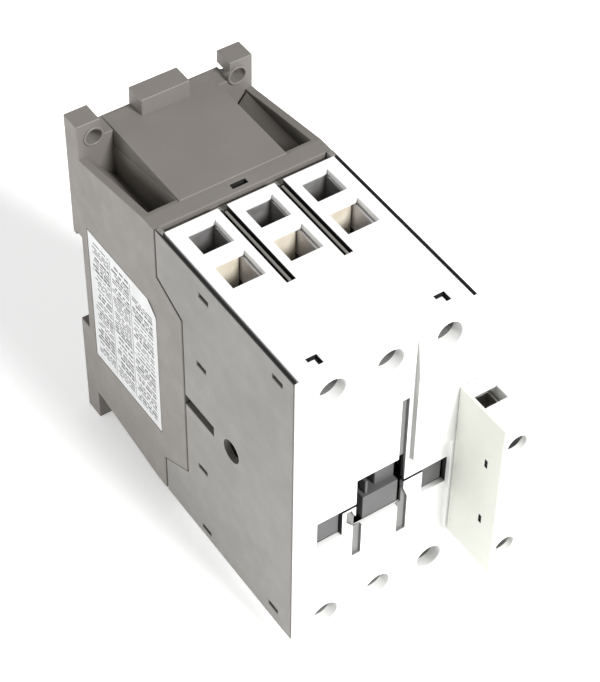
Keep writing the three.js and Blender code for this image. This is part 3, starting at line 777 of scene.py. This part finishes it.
def in_cage(place):
    """Whether a spot of a cage clamp is on its inner walls behind the terminal bar, where deep shade is
    painted as darker metal.
    """
    return abs(place.x - near_pole(place)) < 4.4 and BAR_MIDDLE < place.y < -50.5


def on_fixed_tip(place):
    return place.y < -70.05 and abs(abs(place.z) - CONTACT_Z) < 3.7


def chute_pieces(x, side):
    """Splitter plates with a notch towards the contacts, held between two fibre boards."""
    boards = Shape()
    for d in (-6.9, 6.9):
        boards.box(x + d - 0.35, x + d + 0.35, -71.6, -90.5, side * 26.2, side * 34)
    plates = Shape()
    outline = [(-6.7, 26.6), (-2.6, 26.6), (-0.5, 30.4), (0.5, 30.4), (2.6, 26.6), (6.7, 26.6), (6.7, 33.6),
               (-6.7, 33.6)]
    for i in range(5):
        y = -73.2 - 3.8 * i
        plates.prism([(x + a, side * b) for a, b in outline], 1, y - 1, y)
    return [(boards, None, 0.08, "chute_board"), (plates, None, 0.12, "chute_steel")]


def bridge_pieces(x):
    """A copper strip, pressed up in the middle, with a silvered button at each end."""
    outline = [(-25, -3.9), (-24, -4.9), (24, -4.9), (25, -3.9), (25, 3.9), (24, 4.9), (-24, 4.9), (-25, 3.9)]
    strip = Shape().prism([(x + b, a) for a, b in outline], 1, -79.2, -77.2)
    boss = Shape().lathe([(0, -80.6), (1.6, -80.6), (2, -80.2), (2, -79.1), (0, -79.1)], x, 0, 32)
    tips = Shape()
    for side in ENDS:
        tips.lathe([(0, -77.25), (3.5, -77.25), (3.5, -76.7), (3.1, -76.25), (2.0, -76.02), (0, -76)],
                   x, side * CONTACT_Z, 40)
    return [(strip, None, 0.2, "contact_copper"), (boss, None, 0.1, "contact_copper"),
            (tips, None, 0.0, "contact_silver")]


def coil_terminal_pieces():
    for z, word in zip(BLOCK_Z, ("a1", "a2")):
        assembled(f"coil_screw_{word}", screw_pieces(BLOCK_X, z, 2.6, 1.55, -128.4, -126.0, -121.3, 0.5))
        hole = [round_holes([(BLOCK_X, z)], 1.95, -120, -124, 40, 0.2, -122.8)]
        refined(f"coil_clamp_{word}", cuts=hole, radius=0.2)
    for x, z, word in ((-20, 43, "upper"), (20, -43, "lower")):
        assembled(f"housing_screw_{word}", screw_pieces(x, z, 2.7, 1.45, -48.9, -47.6, -40.5, 0.6))


# --- Springs, magnet and leads --------------------------------------------------------------------

def coil_path(radius, start, end, wire, turns):
    """Points (across, along, across) of a compression spring, with a closed turn at each end."""
    steps = 28
    closed = wire * 2.1
    free = end - start - 2 * closed - 2 * wire
    points = []
    for i in range((turns + 2) * steps + 1):
        turn = i / steps
        if turn <= 1:
            along = closed * turn
        elif turn <= turns + 1:
            along = closed + free * (turn - 1) / turns
        else:
            along = closed + free + closed * (turn - turns - 1)
        angle = 2 * math.pi * turn
        points.append((radius * math.cos(angle), start + wire + along, radius * math.sin(angle)))
    return points


def make_spring(node, x, z, radius, wire, start, end, turns, body):
    """A coiled spring along Y, built as a wire tube and attached to a body."""
    path = [(x + a, y, z + b) for a, y, b in coil_path(radius, start, end, wire, turns)]
    obj = built(node + "_coil", node, Shape().tube(path, wire, 10))
    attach(obj, body)
    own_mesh(obj)


def make_springs():
    for x, word in ((-18.5, "left"), (18.5, "right")):
        make_spring(f"return_spring_{word}", x, 0, 2.6, 0.45, -57.3, -40.4, 5,
                    "housing")
    for pole, x in enumerate(POLES, 1):
        make_spring(f"contact_spring_{pole}", x, 0, 3.3, 0.5, -91.9, -79.2, 4,
                    "moving_system")
    path = [(a, -2.9 + b, z) for a, z, b in coil_path(1.15, -47, -32, 0.35, 6)]
    clip = built("rail_clip_spring_coil", "rail_clip_spring", Shape().tube(path, 0.35, 10))
    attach(clip, "housing")
    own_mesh(clip)


def rounded_frame(half_x, half_z, radius, count=6):
    """Points of a rectangle with round corners, count + 1 on each corner."""
    points = []
    for quarter, (sx, sz) in enumerate(((1, 1), (-1, 1), (-1, -1), (1, -1))):
        for i in range(count + 1):
            angle = math.pi / 2 * (quarter + i / count)
            points.append((sx * (half_x - radius) + radius * math.cos(angle),
                           sz * (half_z - radius) + radius * math.sin(angle)))
    return points


def make_winding():
    """Enamelled wire, turn beside turn: the outside rises and falls with each turn."""
    low, high = corner("coil_winding")
    rows = 20
    pitch = (high.y - low.y) / rows
    outer = []
    for i in range(rows * 6 + 1):
        y = low.y + pitch * i / 6
        sink = 0.5 * pitch * (1 - math.sqrt(max(0.0, 1 - (2 * ((i / 6) % 1.0) - 1) ** 2)))
        outer.append([(x, y, z) for x, z in rounded_frame(high.x - sink, high.z - sink, 3.0)])
    inner = [[(x, y, z) for x, z in rounded_frame(13.9, 10.0, 0.6)] for y in (high.y, low.y)]
    rings = outer + inner
    count = len(rings[0])
    faces = []
    for i in range(len(rings)):
        ahead = (i + 1) % len(rings)
        for k in range(count):
            j = (k + 1) % count
            faces.append((i * count + k, i * count + j, ahead * count + j, ahead * count + k))
    shape = Shape().shell([point for ring in rings for point in ring], faces)
    built("winding_turns", "coil_winding", shape)


def smooth_path(points, steps=10):
    """A Catmull-Rom curve through the points."""
    points = [Vector(p) for p in points]
    ends = [2 * points[0] - points[1], *points, 2 * points[-1] - points[-2]]
    path = []
    for a, b, c, d in zip(ends, ends[1:], ends[2:], ends[3:]):
        for i in range(steps):
            t = i / steps
            path.append(0.5 * (2 * b + (c - a) * t + (2 * a - 5 * b + 4 * c - d) * t ** 2
                               + (3 * b - a - 3 * c + d) * t ** 3))
    path.append(points[-1])
    return path


def make_magnet():
    make_winding()
    for word in ("upper", "lower"):
        refined(f"shading_ring_{word}", radius=0.12, material="ring_copper")
    pin = Shape()
    turn = 2 * math.pi / 40
    for r, reach in ((1.6, 13.9), (1.4, 14.2)):
        circle = [(-54.4 + r * math.cos(i * turn), r * math.sin(i * turn)) for i in range(40)]
        pin.prism(circle, 0, -reach, reach)
    built("pin_round", "armature_pin", pin)
    for side, z, word in zip(ENDS, BLOCK_Z, ("a1", "a2")):
        mouth = side * (abs(z) - 3.5)
        bend = [(22.8, -44.6, side * 10), (24, -50, side * 12), (24, -84, side * 12), (24, -108, side * 12),
                (24, -114, side * 12.4), (BLOCK_X, -118.4, mouth)]
        built(f"lead_{word}", f"coil_lead_{word}", Shape().tube(smooth_path(bend), 0.7, 14))


make_housing()
terminal_pieces()
coil_terminal_pieces()
make_springs()
make_magnet()
refined("rail_clip", radius=0.25)
for node in ("core_buffer", "fixed_core", "armature", "coil_bobbin", "contact_carrier"):
    refined(node, radius=0.2)
for pole in (1, 2, 3):
    refined(f"spring_seat_{pole}", radius=0.15)

# --- Stage ---------------------------------------------------------------------------------------

floor_mesh = bpy.data.meshes.new("floor")
low, high = cad_box
reach = 3.0
floor_mesh.from_pydata([(-reach, -reach, low.z), (reach, -reach, low.z), (reach, reach, low.z),
                        (-reach, reach, low.z)], [], [(0, 1, 2, 3)])
floor = linked("floor", floor_mesh)
floor.data.materials.append(MATERIALS["floor"])

CAMERA_TARGET = Vector((4.39, -65.0, 9.44)) * MM
CAMERA_DISTANCE = 577.0 * MM
CAMERA_AZIMUTH = math.radians(-34.77)
CAMERA_ELEVATION = math.radians(47.17)
CAMERA_ROLL = math.radians(0.97)


def make_camera():
    data = bpy.data.cameras.new("camera")
    data.sensor_width = 36.0
    data.lens = 113.77
    data.clip_start = 0.01
    data.clip_end = 10.0
    camera = linked("camera", data)
    a, e = CAMERA_AZIMUTH, CAMERA_ELEVATION
    back = Vector((math.sin(a) * math.cos(e), -math.cos(a) * math.cos(e), math.sin(e)))
    level = Vector((0, 0, 1)).cross(back).normalized()
    up = back.cross(level)
    right = level * math.cos(CAMERA_ROLL) + up * math.sin(CAMERA_ROLL)
    top = up * math.cos(CAMERA_ROLL) - level * math.sin(CAMERA_ROLL)
    matrix = Matrix((right, top, back)).transposed().to_4x4()
    matrix.translation = CAMERA_TARGET + back * CAMERA_DISTANCE
    camera.matrix_world = matrix
    bpy.context.scene.camera = camera


def sun(name, source, strength, spread):
    """A distant soft light from a direction. Strength 1 lights a facing surface as a white sky would."""
    data = bpy.data.lights.new(name, "SUN")
    data.energy = strength * math.pi
    data.angle = math.radians(spread)
    light = linked(name, data)
    light.rotation_mode = "QUATERNION"
    light.rotation_quaternion = Vector(source).to_track_quat("Z", "Y")


def make_light():
    world = bpy.data.worlds.new("studio")
    world.use_nodes = True
    background = world.node_tree.nodes["Background"]
    background.inputs["Color"].default_value = (1.0, 1.0, 1.0, 1.0)
    background.inputs["Strength"].default_value = 0.25
    bpy.context.scene.world = world
    sun("key", (0.16, -0.74, 0.6), 1.35, 16)
    sun("side", (-0.88, 0.42, 0.2), 0.42, 30)
    sun("top", (0.1, 0.1, 0.99), 0.1, 30)
    view = bpy.context.scene.view_settings
    view.view_transform = "Standard"


make_camera()
make_light()
